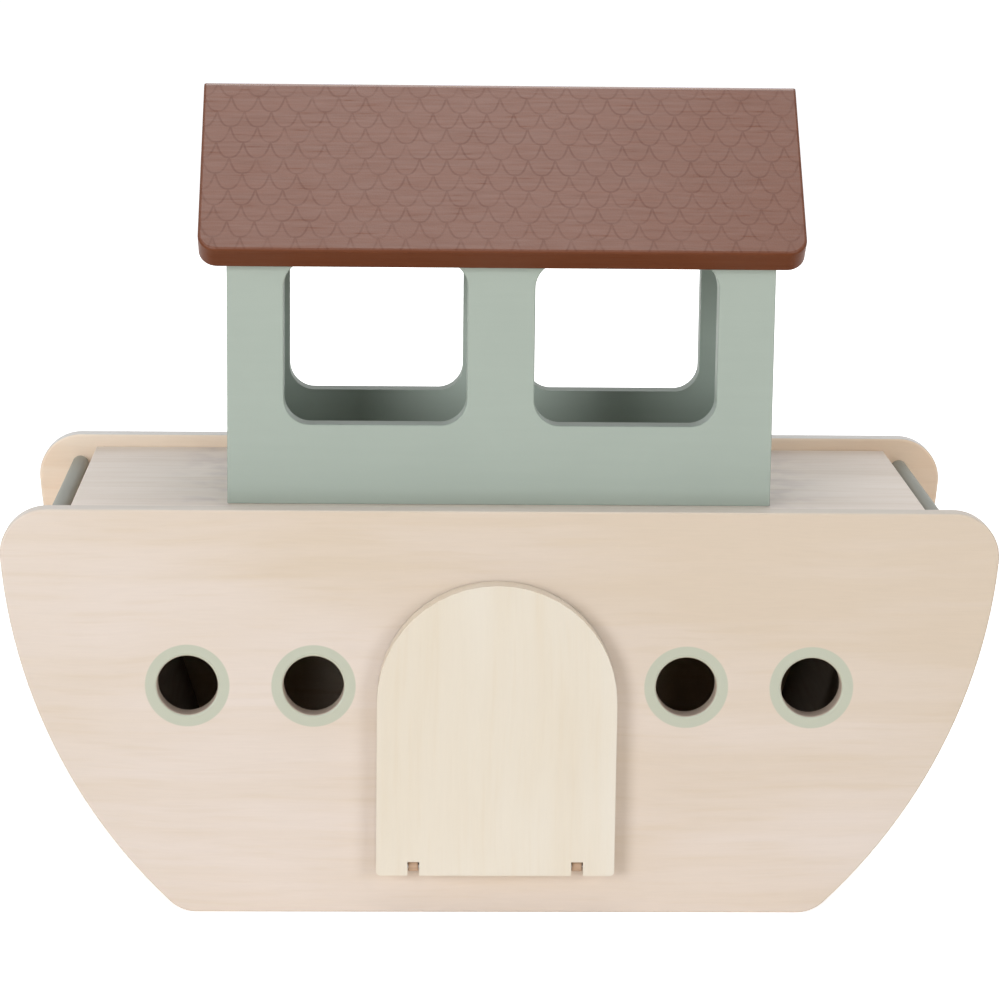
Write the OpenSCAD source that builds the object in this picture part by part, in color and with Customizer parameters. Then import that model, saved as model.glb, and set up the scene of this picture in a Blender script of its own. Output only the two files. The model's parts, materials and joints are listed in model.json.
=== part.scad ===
// Wooden toy ark: a flat-bottomed hull with a drop-down ramp, a lift-out deck lid that carries
// an open-windowed cabin, and a lift-off pitched roof. Lengths are in millimetres.
// X runs along the hull, Y from the ramp side to the back, and Z up from the floor.

/* [Hull panels] */
// Length of the side panels at their widest
hull_l = 335.5; // [324:0.5:356]
// Width over both side panels
hull_w = 141; // [130:1:160]
// Height of the side panels
panel_h = 140.5; // [136:0.5:150]
// Thickness of the side panels
panel_t = 7.5; // [6.5:0.5:9]
// Radius of the long curve at each end of a panel
side_arc_r = 188; // [180:1:198]
// Turn of the long curve where it runs into the top corner
side_lean = 4.3; // [3:0.1:6]
// Radius of a panel's top corners
top_corner_r = 15.5; // [12:0.5:20]
// Radius of a panel's bottom corners
bottom_corner_r = 13; // [8:0.5:16]

/* [Portholes] */
// Diameter of a porthole
porthole_d = 20.5; // [16:0.5:24]
// Height of the porthole centres above the floor
porthole_z = 80; // [74:1:86]
// Distance of the inner portholes from the middle of the hull
porthole_in_x = 63; // [60:0.5:68]
// Distance of the outer portholes from the middle of the hull
porthole_out_x = 105.5; // [100:0.5:112]

/* [Hold boards] */
// Thickness of the bottom board and the end boards
board_t = 7.5; // [6:0.5:9]
// Height of the bottom board above the floor
bottom_lift = 8; // [5:0.5:10]
// Slope of the end boards from upright
end_lean = 17.8; // [16:0.2:20]
// Height of the lower pins in an end board, above the board's foot
end_pin_low = 24; // [14:1:34]
// Height of the upper pins in an end board, above the board's foot
end_pin_high = 90; // [70:1:98]
// Distance of the outer pins of the bottom board from the middle
bottom_pin_x = 70; // [50:1:85]
// Width of the ledges under the deck
ledge_w = 8; // [6:0.5:12]
// Height of the ledges under the deck
ledge_h = 8; // [6:0.5:10]
// Gap between a ledge and the end boards
ledge_end_gap = 1; // [0.5:0.5:3]

/* [Deck lid] */
// Distance of a deck end from the hull's end
deck_end_in = 21.25; // [18:0.25:26]
// Thickness of the deck board
deck_t = 7.5; // [6:0.5:9]
// Depth of the deck below the top of the side panels
deck_recess = 4.5; // [3:0.5:6]
// Gap between the deck board and each side panel
deck_play = 0.4; // [0.3:0.1:0.8]
// Gap between the deck board and the ledges it rests on
lid_gap = 0.2; // [0.1:0.1:0.4]

/* [Bow and stern dowels] */
// Diameter of the dowels
dowel_d = 6; // [5:0.5:8]
// Gap between a deck end and its dowel
dowel_gap = 3; // [2:0.5:4]
// Depth of the dowel's top below the deck
dowel_drop = 3.7; // [2:0.1:5]
// Depth of a dowel's seat in each panel
dowel_seat = 4; // [3:0.5:5]

/* [Ramp] */
// Width of the ramp
ramp_w = 80.8; // [76:0.2:84]
// Height of the ramp to the top of its arch
ramp_h = 101; // [97:0.5:104]
// Thickness of the ramp
ramp_t = 7.5; // [7:0.5:9]
// Gap between the closed ramp and the panel
ramp_gap = 0.5; // [0.4:0.1:1]
// Height of the ramp's bottom edge above the floor
ramp_lift = 15.8; // [14:0.2:18]
// Shift of the ramp along the hull
ramp_x = -1.2; // [-4:0.2:4]
// Radius of the ramp's bottom corners
ramp_corner_r = 1.5; // [1:0.1:3]
// Overlap of the ramp over the doorway's sides and arch
doorway_lap = 11; // [10:0.5:14]
// Height of the doorway's sill above the ramp's bottom edge
sill_up = 6.8; // [6.5:0.1:8]

/* [Ramp hinge] */
// Height of the hinge axis above the ramp's bottom edge
hinge_up = 2.6; // [2.4:0.1:3]
// Distance of the hinge axis from the ramp's back face
hinge_in = 4.2; // [3.9:0.1:4.4]
// Diameter of the hinge pins
hinge_pin_d = 1.6; // [1.4:0.1:1.8]
// Running clearance round a hinge pin in its lug
hinge_fit = 0.05; // [0.03:0.01:0.08]
// Clearance round a hinge pin glued into the ramp
glue_fit = 0.02; // [0.01:0.01:0.05]
// Width of a hinge lug
lug_w = 3.4; // [3:0.1:4]
// Radius of a hinge lug's round end
lug_r = 1.9; // [1.7:0.05:2.1]
// Gap between a lug and its notch in the ramp
lug_play = 0.3; // [0.2:0.05:0.4]
// Distance of a lug's middle from the ramp's side
lug_inset = 12.6; // [10:0.2:16]
// Length of a hinge pin past its lug
hinge_pin_past = 4; // [3:0.5:8]
// Depth of a hinge pin's outer end below the ramp's side
hinge_pin_sink = 1; // [0.5:0.1:2]

/* [Ramp catch] */
// Diameter of the two catch magnets
magnet_d = 6; // [5:0.5:7]
// Thickness of a catch magnet
magnet_t = 3; // [2:0.5:4]
// Depth of a magnet's face below the wood
magnet_sink = 0.2; // [0.1:0.1:0.5]

/* [Cabin] */
// Length of the cabin along the hull
cabin_l = 186.5; // [178:0.5:192]
// Depth of the cabin from front to rear
cabin_d = 76.7; // [72:0.5:82]
// Thickness of the cabin walls
wall_t = 8; // [6:0.5:9]
// Height of the front and rear walls at their outer face
wall_h = 87.4; // [86:0.2:92]
// Width of a window
window_w = 62.4; // [56:0.2:64]
// Height of a window
window_h = 56.4; // [46:0.2:57]
// Radius of a window's corners
window_r = 9; // [6:0.5:12]
// Height of the window sills above the deck
window_sill = 27.7; // [26.5:0.1:28]
// Width of the post between the two windows of a wall
mullion_w = 23; // [20:0.5:26]
// Height of the lower corner pins above the deck
corner_pin_low = 14; // [8:1:24]
// Height of the upper corner pins above the deck
corner_pin_high = 78; // [66:1:80]

/* [Roof] */
// Length of the roof along the hull
roof_l = 205; // [198:1:216]
// Thickness of the roof boards
roof_t = 10; // [9:0.5:13]
// Reach of the eave's upper edge past the cabin wall
eave_out = 12.5; // [11:0.1:16]
// Radius of the roof's lower corners, seen square to the board
roof_corner_r = 6.5; // [4:0.5:10]
// Radius along the eave's edges
roof_edge_r = 2; // [1:0.25:4]
// Gap between the roof and the cabin it rests on
roof_gap = 0.2; // [0.1:0.05:0.4]
// Thickness of the ribs under the roof
rib_t = 6; // [5:0.5:9]
// Gap between a rib and the cabin's inside
rib_play = 1; // [0.6:0.1:2]
// Depth of the ribs below the inner top edge of the cabin walls
rib_drop = 4; // [2:0.5:6]
// Distance of the outer ridge pins from the middle
ridge_pin_x = 72; // [50:1:85]

/* [Hidden pins and screws] */
// Diameter of the wooden joining pins
pin_d = 5; // [4:0.5:6]
// Length of a joining pin
pin_l = 18; // [14:1:22]
// Depth of a joining pin in the board that it ends in
pin_seat = 5; // [4:0.5:5.5]
// Clearance round a joining pin
pin_fit = 0.05; // [0.02:0.01:0.1]
// Diameter of the cabin screws
screw_d = 3.5; // [3:0.1:4]
// Length of the cabin screws
screw_l = 24; // [18:1:26]
// Diameter of a cabin screw's head
screw_head_d = 7; // [6:0.5:8]

/* [Hidden] */
$fn = 64;
// Overshoot of a cutting shape past the face it opens
cut = 1;
// Segments in each rounded stretch of an outline
arc_steps = 24;

basswood = [0.90, 0.84, 0.77];
ramp_wood = [0.92, 0.87, 0.79];
deck_wood = [0.80, 0.77, 0.73];
inner_wood = [0.83, 0.76, 0.66];
sage = [0.65, 0.70, 0.64];
dowel_green = [0.58, 0.61, 0.56];
terracotta = [0.52, 0.32, 0.25];
steel = [0.62, 0.62, 0.64];

// The ramp stands proud of the hull, so the hull sits half of that behind the middle of the toy
hull_y = (ramp_t + ramp_gap) / 2;
front_y = hull_y - hull_w / 2;
rear_y = hull_y + hull_w / 2;
front_in_y = front_y + panel_t;
rear_in_y = rear_y - panel_t;
inner_w = hull_w - 2 * panel_t;
// Where the joining pins in the two side panels start
pin_row_y = [front_in_y - pin_seat, rear_in_y + pin_seat - pin_l];

// Centres of the arcs that make a panel's right-hand outline
top_arc = [hull_l / 2 - top_corner_r, panel_h - top_corner_r];
side_arc = top_arc - (side_arc_r - top_corner_r) * [cos(side_lean), -sin(side_lean)];
bottom_rise = side_arc.y - bottom_corner_r;
bottom_run = sqrt(pow(side_arc_r - bottom_corner_r, 2) - pow(bottom_rise, 2));
bottom_arc = [side_arc.x + bottom_run, bottom_corner_r];
bottom_turn = atan2(bottom_rise, bottom_run);

// The deck's ends carry the places of the end boards and the dowels along the hull
deck_l = hull_l - 2 * deck_end_in;
deck_top = panel_h - deck_recess;
deck_under = deck_top - deck_t;
ledge_top = deck_under - lid_gap;
ledge_under = ledge_top - ledge_h;

// The end boards stop under the ends of the deck
end_top = deck_under - lid_gap;
end_run = board_t / cos(end_lean);
bottom_top = bottom_lift + board_t;

dowel_x = deck_l / 2 + dowel_gap + dowel_d / 2;
dowel_z = deck_top - dowel_drop - dowel_d / 2;

ramp_back_y = front_y - ramp_gap;
ramp_front_y = ramp_back_y - ramp_t;
arch_r = ramp_w / 2;
arch_z = ramp_lift + ramp_h - arch_r;
doorway_r = arch_r - doorway_lap;
sill_z = ramp_lift + sill_up;
hinge_y = ramp_back_y - hinge_in;
hinge_z = ramp_lift + hinge_up;
magnet_z = arch_z + (arch_r + doorway_r) / 2;

cabin_front_y = hull_y - cabin_d / 2;
wall_in_h = wall_h + wall_t;
gable_half = cabin_d / 2 - wall_t;
window_x = (mullion_w + window_w) / 2;
gable_x = cabin_l / 2 - wall_t;

// The roof's two boards meet at a right angle, so both slopes stand at 45 degrees
roof_turn = 45;
under_ridge_z = deck_top + wall_h + cabin_d / 2 + roof_gap * sqrt(2);
ridge_z = under_ridge_z + roof_t * sqrt(2);
roof_s = (cabin_d / 2 + eave_out) * sqrt(2);
rib_x = gable_x - rib_play - rib_t;
rib_half = gable_half - rib_play;
rib_under = deck_top + wall_in_h - rib_drop;
screw_head_h = (screw_head_d - screw_d) / 2;

// Points of an arc about c, from the angle a0 to the angle a1
function arc(c, r, a0, a1) =
    [for (i = [0:arc_steps]) let (a = a0 + (a1 - a0) * i / arc_steps) c + r * [cos(a), sin(a)]];

function mirrored(points) =
    [for (i = [len(points) - 1:-1:0]) [-points[i].x, points[i].y]];

// Where an end board's outer face stands at the height z
function end_x(z) = deck_l / 2 - (end_top - z) * tan(end_lean);

// A flat outline in X and Z, made t thick from y towards the back
module plate_y(y, t) {
    translate([0, y + t, 0]) rotate([90, 0, 0]) linear_extrude(t) children();
}

// A flat outline in Y and Z, made t thick from x towards the bow
module plate_x(x, t) {
    translate([x, 0, 0]) rotate([90, 0, 90]) linear_extrude(t) children();
}

// A round bar along Y from y, l long
module bar_y(x, y, z, d, l) {
    translate([x, y, z]) rotate([-90, 0, 0]) cylinder(d = d, h = l);
}

// A round bar along X from x, l long
module bar_x(x, y, z, d, l) {
    translate([x, y, z]) rotate([0, 90, 0]) cylinder(d = d, h = l);
}

module both_sides() {
    children();
    mirror([1, 0, 0]) children();
}

module panel_outline() {
    half = concat(
        arc(bottom_arc, bottom_corner_r, -90, -bottom_turn),
        arc(side_arc, side_arc_r, -bottom_turn, -side_lean),
        arc(top_arc, top_corner_r, -side_lean, 90));
    polygon(concat(half, mirrored(half)));
}

module doorway_outline() {
    polygon(concat(
        [[ramp_x - doorway_r, sill_z], [ramp_x + doorway_r, sill_z]],
        arc([ramp_x, arch_z], doorway_r, 0, 180)));
}

module ramp_outline() {
    r = ramp_corner_r;
    side = arch_r - r;
    polygon(concat(
        arc([ramp_x + side, ramp_lift + r], r, -90, 0),
        arc([ramp_x, arch_z], arch_r, 0, 180),
        arc([ramp_x - side, ramp_lift + r], r, 180, 270)));
}

module window_outline() {
    x = window_w / 2 - window_r;
    low = window_sill + window_r;
    high = window_sill + window_h - window_r;
    polygon(concat(
        arc([x, low], window_r, -90, 0), arc([x, high], window_r, 0, 90),
        arc([-x, high], window_r, 90, 180), arc([-x, low], window_r, 180, 270)));
}

// Hull

// The joining pins of the bottom board, grown by fit to make their bores
module bottom_pin_rows(fit) {
    for (x = [-bottom_pin_x, 0, bottom_pin_x], y = pin_row_y)
        bar_y(x, y - fit, bottom_lift + board_t / 2, pin_d + 2 * fit, pin_l + 2 * fit);
}

// The joining pins of the bow end board, grown by fit to make their bores
module end_pin_rows(fit) {
    for (up = [end_pin_low, end_pin_high], y = pin_row_y)
        bar_y(end_x(bottom_lift + up) - end_run / 2, y - fit, bottom_lift + up,
            pin_d + 2 * fit, pin_l + 2 * fit);
}

module end_dowel(fit) {
    bar_y(dowel_x, front_in_y - dowel_seat - fit, dowel_z,
        dowel_d + 2 * fit, inner_w + 2 * dowel_seat + 2 * fit);
}

module panel_seats() {
    bottom_pin_rows(pin_fit);
    both_sides() end_pin_rows(pin_fit);
    both_sides() end_dowel(pin_fit);
}

module lug_pair() {
    for (side = [-1, 1]) translate([ramp_x + side * (arch_r - lug_inset), 0, 0]) children();
}

// The tail of one lug, grown by fit to make its slot
module lug_tail(fit) {
    translate([-lug_w / 2 - fit, hinge_y, hinge_z - lug_r - fit])
        cube([lug_w + 2 * fit, front_in_y - hinge_y, 2 * (lug_r + fit)]);
}

module front_side_panel() {
    color(basswood) difference() {
        plate_y(front_y, panel_t) difference() {
            panel_outline();
            doorway_outline();
        }
        for (x = [porthole_in_x, porthole_out_x], side = [-1, 1])
            bar_y(side * x, front_y - cut, porthole_z, porthole_d, panel_t + 2 * cut);
        lug_pair() translate([0, cut, 0]) lug_tail(pin_fit);
        bar_y(ramp_x, front_y - cut, magnet_z, magnet_d + 2 * pin_fit, cut + magnet_sink + magnet_t);
        panel_seats();
    }
}

module rear_side_panel() {
    color(basswood) difference() {
        plate_y(rear_in_y, panel_t) panel_outline();
        panel_seats();
    }
}

module bottom_board() {
    color(inner_wood) difference() {
        plate_y(front_in_y, inner_w) {
            low = end_x(bottom_lift) - end_run;
            high = end_x(bottom_top) - end_run;
            polygon([[-low, bottom_lift], [low, bottom_lift], [high, bottom_top], [-high, bottom_top]]);
        }
        bottom_pin_rows(pin_fit);
    }
}

module bow_end_board() {
    color(inner_wood) difference() {
        plate_y(front_in_y, inner_w) {
            low = end_x(bottom_lift);
            high = end_x(end_top);
            polygon([[low - end_run, bottom_lift], [low, bottom_lift],
                [high, end_top], [high - end_run, end_top]]);
        }
        end_pin_rows(pin_fit);
    }
}

module stern_end_board() {
    mirror([1, 0, 0]) bow_end_board();
}

module bow_dowel() {
    color(dowel_green) end_dowel(0);
}

module stern_dowel() {
    mirror([1, 0, 0]) bow_dowel();
}

module ledge(y) {
    half = end_x(ledge_under) - end_run - ledge_end_gap;
    color(inner_wood) translate([-half, y, ledge_under]) cube([2 * half, ledge_w, ledge_h]);
}

module front_ledge() {
    ledge(front_in_y);
}

module rear_ledge() {
    ledge(rear_in_y - ledge_w);
}

module bottom_pins() {
    color(inner_wood) bottom_pin_rows(0);
}

module end_board_pins() {
    color(inner_wood) both_sides() end_pin_rows(0);
}

module hinge_lugs() {
    color(ramp_wood) lug_pair() difference() {
        union() {
            lug_tail(0);
            bar_x(-lug_w / 2, hinge_y, hinge_z, 2 * lug_r, lug_w);
        }
        bar_x(-lug_w / 2 - cut, hinge_y, hinge_z, hinge_pin_d + 2 * hinge_fit, lug_w + 2 * cut);
    }
}

module panel_magnet() {
    color(steel) bar_y(ramp_x, front_y + magnet_sink, magnet_z, magnet_d, magnet_t);
}

// Ramp

// The two hinge pins from sink below the ramp's sides, grown by fit to make their bores
module hinge_pin_pair(fit, sink) {
    reach = lug_inset + lug_w / 2 + hinge_pin_past;
    translate([ramp_x, 0, 0]) both_sides()
        bar_x(sink - arch_r, hinge_y, hinge_z, hinge_pin_d + 2 * fit, reach - sink + fit);
}

// Waste along the ramp's lower back edge, which is rounded about the hinge axis
module ramp_heel() {
    difference() {
        translate([ramp_x - arch_r - cut, hinge_y, ramp_lift - cut])
            cube([ramp_w + 2 * cut, hinge_in + cut, hinge_up + cut]);
        bar_x(ramp_x - arch_r - 2 * cut, hinge_y, hinge_z, 2 * hinge_in, ramp_w + 4 * cut);
    }
}

module ramp_door() {
    notch_w = lug_w + 2 * lug_play;
    notch_top = hinge_z + lug_r + lug_play;
    color(ramp_wood) difference() {
        plate_y(ramp_front_y, ramp_t) ramp_outline();
        ramp_heel();
        lug_pair() translate([-notch_w / 2, ramp_front_y - cut, ramp_lift - cut])
            cube([notch_w, ramp_t + 2 * cut, notch_top - ramp_lift + cut]);
        hinge_pin_pair(glue_fit, -cut);
        bar_y(ramp_x, ramp_back_y - magnet_sink - magnet_t, magnet_z,
            magnet_d + 2 * pin_fit, magnet_sink + magnet_t + cut);
    }
}

module hinge_pins() {
    color(steel) hinge_pin_pair(0, hinge_pin_sink);
}

module ramp_magnet() {
    color(steel) bar_y(ramp_x, ramp_back_y - magnet_sink - magnet_t, magnet_z, magnet_d, magnet_t);
}

// Deck lid and cabin

module screw_places() {
    for (x = [-window_x, window_x], side = [-1, 1])
        translate([x, hull_y + side * (cabin_d - wall_t) / 2, deck_under]) children();
    for (side = [-1, 1])
        translate([side * (cabin_l - wall_t) / 2, hull_y, deck_under]) children();
}

// One countersunk screw that points up, grown by fit to make its bore
module screw(fit) {
    cylinder(d1 = screw_head_d + 2 * fit, d2 = screw_d + 2 * fit, h = screw_head_h);
    cylinder(d = screw_d + 2 * fit, h = screw_l + fit);
}

// The pins between the front wall and both gables, grown by fit to make their bores
module front_corner_pins(fit) {
    for (up = [corner_pin_low, corner_pin_high], side = [-1, 1])
        bar_y(side * (cabin_l - wall_t) / 2, cabin_front_y + wall_t - pin_seat - fit, deck_top + up,
            pin_d + 2 * fit, pin_l + 2 * fit);
}

// The same pins at the rear wall, mirrored about the hull's middle plane
module rear_corner_pins(fit) {
    translate([0, 2 * hull_y, 0]) mirror([0, 1, 0]) front_corner_pins(fit);
}

module deck_board() {
    w = inner_w - 2 * deck_play;
    color(deck_wood) difference() {
        translate([-deck_l / 2, hull_y - w / 2, deck_under]) cube([deck_l, w, deck_t]);
        screw_places() screw(pin_fit);
    }
}

module cabin_front_wall() {
    color(sage) difference() {
        plate_x(-cabin_l / 2, cabin_l) polygon([
            [cabin_front_y, deck_top],
            [cabin_front_y + wall_t, deck_top],
            [cabin_front_y + wall_t, deck_top + wall_in_h],
            [cabin_front_y, deck_top + wall_h]]);
        for (x = [-window_x, window_x])
            translate([x, 0, deck_top]) plate_y(cabin_front_y - cut, wall_t + 2 * cut) window_outline();
        front_corner_pins(pin_fit);
        screw_places() screw(pin_fit);
    }
}

module cabin_rear_wall() {
    translate([0, 2 * hull_y, 0]) mirror([0, 1, 0]) cabin_front_wall();
}

module gable(x) {
    color(sage) difference() {
        plate_x(x, wall_t) translate([hull_y, deck_top]) polygon([
            [-gable_half, 0], [gable_half, 0], [gable_half, wall_in_h],
            [0, wall_in_h + gable_half], [-gable_half, wall_in_h]]);
        front_corner_pins(pin_fit);
        rear_corner_pins(pin_fit);
        screw_places() screw(pin_fit);
    }
}

module cabin_stern_gable() {
    gable(-cabin_l / 2);
}

module cabin_bow_gable() {
    gable(gable_x);
}

module cabin_corner_pins() {
    color(inner_wood) {
        front_corner_pins(0);
        rear_corner_pins(0);
    }
}

module cabin_screws() {
    color(steel) screw_places() screw(0);
}

// Roof

// Carries a board that lies flat, with its upper edge on X, onto the front slope
module on_front_slope() {
    translate([0, hull_y, ridge_z]) rotate([roof_turn, 0, 0]) children();
}

module on_rear_slope() {
    translate([0, 2 * hull_y, 0]) mirror([0, 1, 0]) on_front_slope() children();
}

// A roof board from s down the slope to the eave, with its outer face on top
module roof_board(s) {
    r = roof_corner_r;
    e = roof_edge_r;
    x = roof_l / 2;
    intersection() {
        translate([0, 0, -roof_t]) linear_extrude(roof_t) polygon(concat(
            [[x, -s], [-x, -s]],
            arc([r - x, r - roof_s], r, 180, 270),
            arc([x - r, r - roof_s], r, 270, 360)));
        plate_x(-x, roof_l) polygon(concat(
            [[-s, -roof_t], [-s, 0]],
            arc([e - roof_s, -e], e, 90, 180),
            arc([e - roof_s, e - roof_t], e, 180, 270)));
    }
}

// The pins that hold the two roof boards together, grown by fit to make their bores
module ridge_pin_row(fit) {
    on_rear_slope() for (x = [-ridge_pin_x, 0, ridge_pin_x])
        bar_y(x, -roof_t + pin_seat - pin_l - fit, -roof_t / 2, pin_d + 2 * fit, pin_l + 2 * fit);
}

module roof_front_board() {
    color(terracotta) difference() {
        on_front_slope() roof_board(0);
        ridge_pin_row(pin_fit);
    }
}

module roof_rear_board() {
    color(terracotta) difference() {
        on_rear_slope() roof_board(roof_t);
        ridge_pin_row(pin_fit);
    }
}

module rib(x) {
    color(terracotta) plate_x(x, rib_t) translate([hull_y, 0]) polygon([
        [-rib_half, rib_under], [rib_half, rib_under], [rib_half, under_ridge_z - rib_half],
        [0, under_ridge_z], [-rib_half, under_ridge_z - rib_half]]);
}

module roof_stern_rib() {
    rib(-rib_x - rib_t);
}

module roof_bow_rib() {
    rib(rib_x);
}

module ridge_pins() {
    color(inner_wood) ridge_pin_row(0);
}

front_side_panel();
rear_side_panel();
bottom_board();
bow_end_board();
stern_end_board();
bow_dowel();
stern_dowel();
front_ledge();
rear_ledge();
bottom_pins();
end_board_pins();
hinge_lugs();
panel_magnet();
ramp_door();
hinge_pins();
ramp_magnet();
deck_board();
cabin_front_wall();
cabin_rear_wall();
cabin_stern_gable();
cabin_bow_gable();
cabin_corner_pins();
cabin_screws();
roof_front_board();
roof_rear_board();
roof_stern_rib();
roof_bow_rib();
ridge_pins();
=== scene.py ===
import json
from math import pi, radians, sqrt

import bmesh
import bpy
from bpy.props import FloatProperty, FloatVectorProperty, IntProperty, PointerProperty
from mathutils import Matrix, Vector


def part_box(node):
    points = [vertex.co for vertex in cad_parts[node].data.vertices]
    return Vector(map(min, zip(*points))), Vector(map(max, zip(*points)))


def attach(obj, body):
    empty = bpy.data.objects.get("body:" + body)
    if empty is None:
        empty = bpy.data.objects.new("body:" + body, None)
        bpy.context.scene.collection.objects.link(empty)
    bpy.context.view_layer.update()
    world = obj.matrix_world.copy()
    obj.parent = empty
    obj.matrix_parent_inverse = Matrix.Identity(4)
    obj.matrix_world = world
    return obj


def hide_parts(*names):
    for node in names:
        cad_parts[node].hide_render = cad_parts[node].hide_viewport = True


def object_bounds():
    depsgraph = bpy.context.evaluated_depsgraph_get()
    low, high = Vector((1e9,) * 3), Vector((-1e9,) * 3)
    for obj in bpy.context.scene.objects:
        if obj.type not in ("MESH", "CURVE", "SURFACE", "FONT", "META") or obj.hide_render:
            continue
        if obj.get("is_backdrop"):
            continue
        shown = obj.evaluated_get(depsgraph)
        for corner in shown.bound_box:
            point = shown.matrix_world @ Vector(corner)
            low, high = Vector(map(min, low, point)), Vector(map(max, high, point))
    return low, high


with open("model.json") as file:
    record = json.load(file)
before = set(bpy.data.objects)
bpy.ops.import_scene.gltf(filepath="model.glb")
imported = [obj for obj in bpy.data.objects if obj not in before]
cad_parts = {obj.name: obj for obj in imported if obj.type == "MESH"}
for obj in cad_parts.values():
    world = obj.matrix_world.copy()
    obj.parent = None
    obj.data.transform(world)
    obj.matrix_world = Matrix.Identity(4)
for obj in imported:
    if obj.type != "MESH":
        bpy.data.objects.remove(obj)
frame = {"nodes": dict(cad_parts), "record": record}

bpy.context.view_layer.update()
cad_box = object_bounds()

bl_info = {
    "name": "Wooden toy ark",
    "version": (1, 0, 0),
    "blender": (4, 5, 0),
    "location": "3D View > Sidebar > Ark",
    "description": "Finishes a wooden toy ark over its construction frame",
    "category": "Object",
}

# Lengths are in metres. Places come from the frame, so they follow the construction.
NODES = frame["nodes"]
PANEL_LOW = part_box("front_side_panel")[0]
DECK_LOW, DECK_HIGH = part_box("deck_board")
WALL_LOW, WALL_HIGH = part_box("cabin_front_wall")
ROOF_LOW, ROOF_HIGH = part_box("roof_front_board")
MIDDLE_Y = (DECK_LOW.y + DECK_HIGH.y) / 2
RIDGE = Vector((0.0, MIDDLE_Y, ROOF_HIGH.z))
HOLE_BOXES = [[Vector(corner) for corner in hole["box_m"]]
              for hole in frame["record"]["physics"]["openings"]
              if hole["name"].endswith("porthole")]
PORTHOLES = [low.lerp(high, 0.5) for low, high in HOLE_BOXES]
# The record gives the square inside a porthole
HOLE_RADIUS = (HOLE_BOXES[0][1].x - HOLE_BOXES[0][0].x) / sqrt(2)

# Vertices closer than this are one vertex
MERGE = 1e-6
# Faces that meet at less than this angle are one flat face
FLAT = radians(0.4)
# Edges that turn by more than this angle are sharp
SHARP = radians(40)
# Outlines smaller than this belong to bores for pins, screws and magnets, and stay square
BORE_SPAN = 0.0085
# Noise is given in cells to the metre, and a span is the part of it that a pattern runs over.
# How much narrower the grain and its patches are across the fibres than along them
GRAIN_STRETCH = 0.06
PATCH_STRETCH = 0.3
# How a seed moves a wood through its noise, so that no two boards look alike
SEED_WAY = (1.0, 1.7, -0.6)
# How far the grain sways
SWAY_CELLS, SWAY = 14.0, 0.006
# Wide patches, bands, streaks and fine fibres of a wood
PATCH_CELLS, PATCH_SPAN = 24.0, (0.36, 0.66)
BAND_CELLS, BAND_SPAN = 120.0, (0.40, 0.72)
STREAK_CELLS, STREAK_SPAN = 480.0, (0.50, 0.75)
FIBRE_CELLS = 1500.0
# How far patches, bands and streaks turn the wood warm, and how far the fibres shade it
PATCH_WARMTH, BAND_WARMTH, STREAK_WARMTH = 0.40, 0.30, 0.20
FIBRE_DEPTH = 0.07
# Where the side panels grow warmer and darker: the way, its start and end, and how much. On the
# rear panel the darkening to the right is partly wood tone and partly painted shade where the cabin
# keeps light off.
FRONT_DRIFT = ((0.25, 0.0, 1.0), 0.055, 0.165, 0.85)
REAR_DRIFT = ((1.0, 0.0, 0.0), 0.02, 0.20, 0.7)
# How far a surface is turned to the front where a board's edge ends
EDGE_SPAN = (0.35, 0.75)
# How much of the pale rim colour, a painted sheen of the pale surroundings seen at a grazing angle,
# shows on the edges of the side panels
FRONT_EDGE_SHEEN, REAR_EDGE_SHEEN = 0.35, 0.9
# How much of the cut-edge colour shows on the ramp's edges
RAMP_CUT = 0.25
# Depth behind the panel's face over which a ring's paint ends, and how well it covers
RING_DEPTH, RING_COVER = (0.0006, 0.0011), 0.94
# Distance from a hole's wall over which the sawn wood ends
SAWN_EDGE = (0.0002, 0.0008)
# Where an end board faces the hold, how far painted shade of the unlit hold darkens it there, and
# its gloss
INNER_FACE, HOLD_PAINTED_SHADE, END_GLOSS = (-0.05, -0.02), 0.36, 0.12
# Painted shade of the cabin on the deck beside it: where it starts and ends, counted from the wall,
# and its clouds
CABIN_SHADE_START, CABIN_SHADE_END = (-0.006, 0.0), (0.002, 0.028)
CABIN_SHADE_CELLS, CABIN_SHADE_SPAN, CABIN_SHADE_DEPTH = 80.0, (0.40, 0.66), 0.5
# Clouds, brush lines and fine unevenness of a paint
CLOUD_CELLS, LINE_CELLS, PEEL_CELLS = 34.0, 420.0, 1700.0
# Height of the grain or of a paint's unevenness, how far it shows, and the share of its lines
RELIEF, RELIEF_SHOWN = 0.00006, 0.3
STREAK_RELIEF, LINE_RELIEF = 0.4, 0.7
# The span of a pattern over which a finish goes from smooth to rough, and how far that is
ROUGH_SPAN = (0.3, 0.7)
WOOD_ROUGH, PAINT_ROUGH = (-0.04, 0.05), (-0.02, 0.02)
# Marks on steel: their noise, how far they stretch, their height and how rough they are
STEEL_CELLS, STEEL_STRETCH, STEEL_RELIEF = 2600.0, 0.2, 0.00002
STEEL_ROUGH = (0.24, 0.42)
# The roof's scale lines: share of their width that is full, their wear, colour and lost gloss
LINE_CORE, LINE_COLOUR, LINE_DULL = 0.15, 0.21, 0.26
WEAR_CELLS, WEAR_SPAN, WEAR_LEFT = 210.0, (0.32, 0.62), 0.40
# Depth over which the roof's outer faces begin, and the gloss inside and what the outside adds
FACE_EDGE, INSIDE_GLOSS, OUTSIDE_GLOSS = (-0.0004, -0.0001), 0.16, 0.36
# Streaks, scratches and dull patches in the roof's gloss
MARK_CELLS, MARK_GLOSS = 900.0, 0.75
SCRATCH_SPAN, SCRATCH_GLOSS = (0.26, 0.36), 0.65
DULL_CELLS, DULL_SWAY, DULL_SPAN, DULL_GLOSS = 20.0, 0.10, (0.05, 0.17), 0.85
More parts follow.
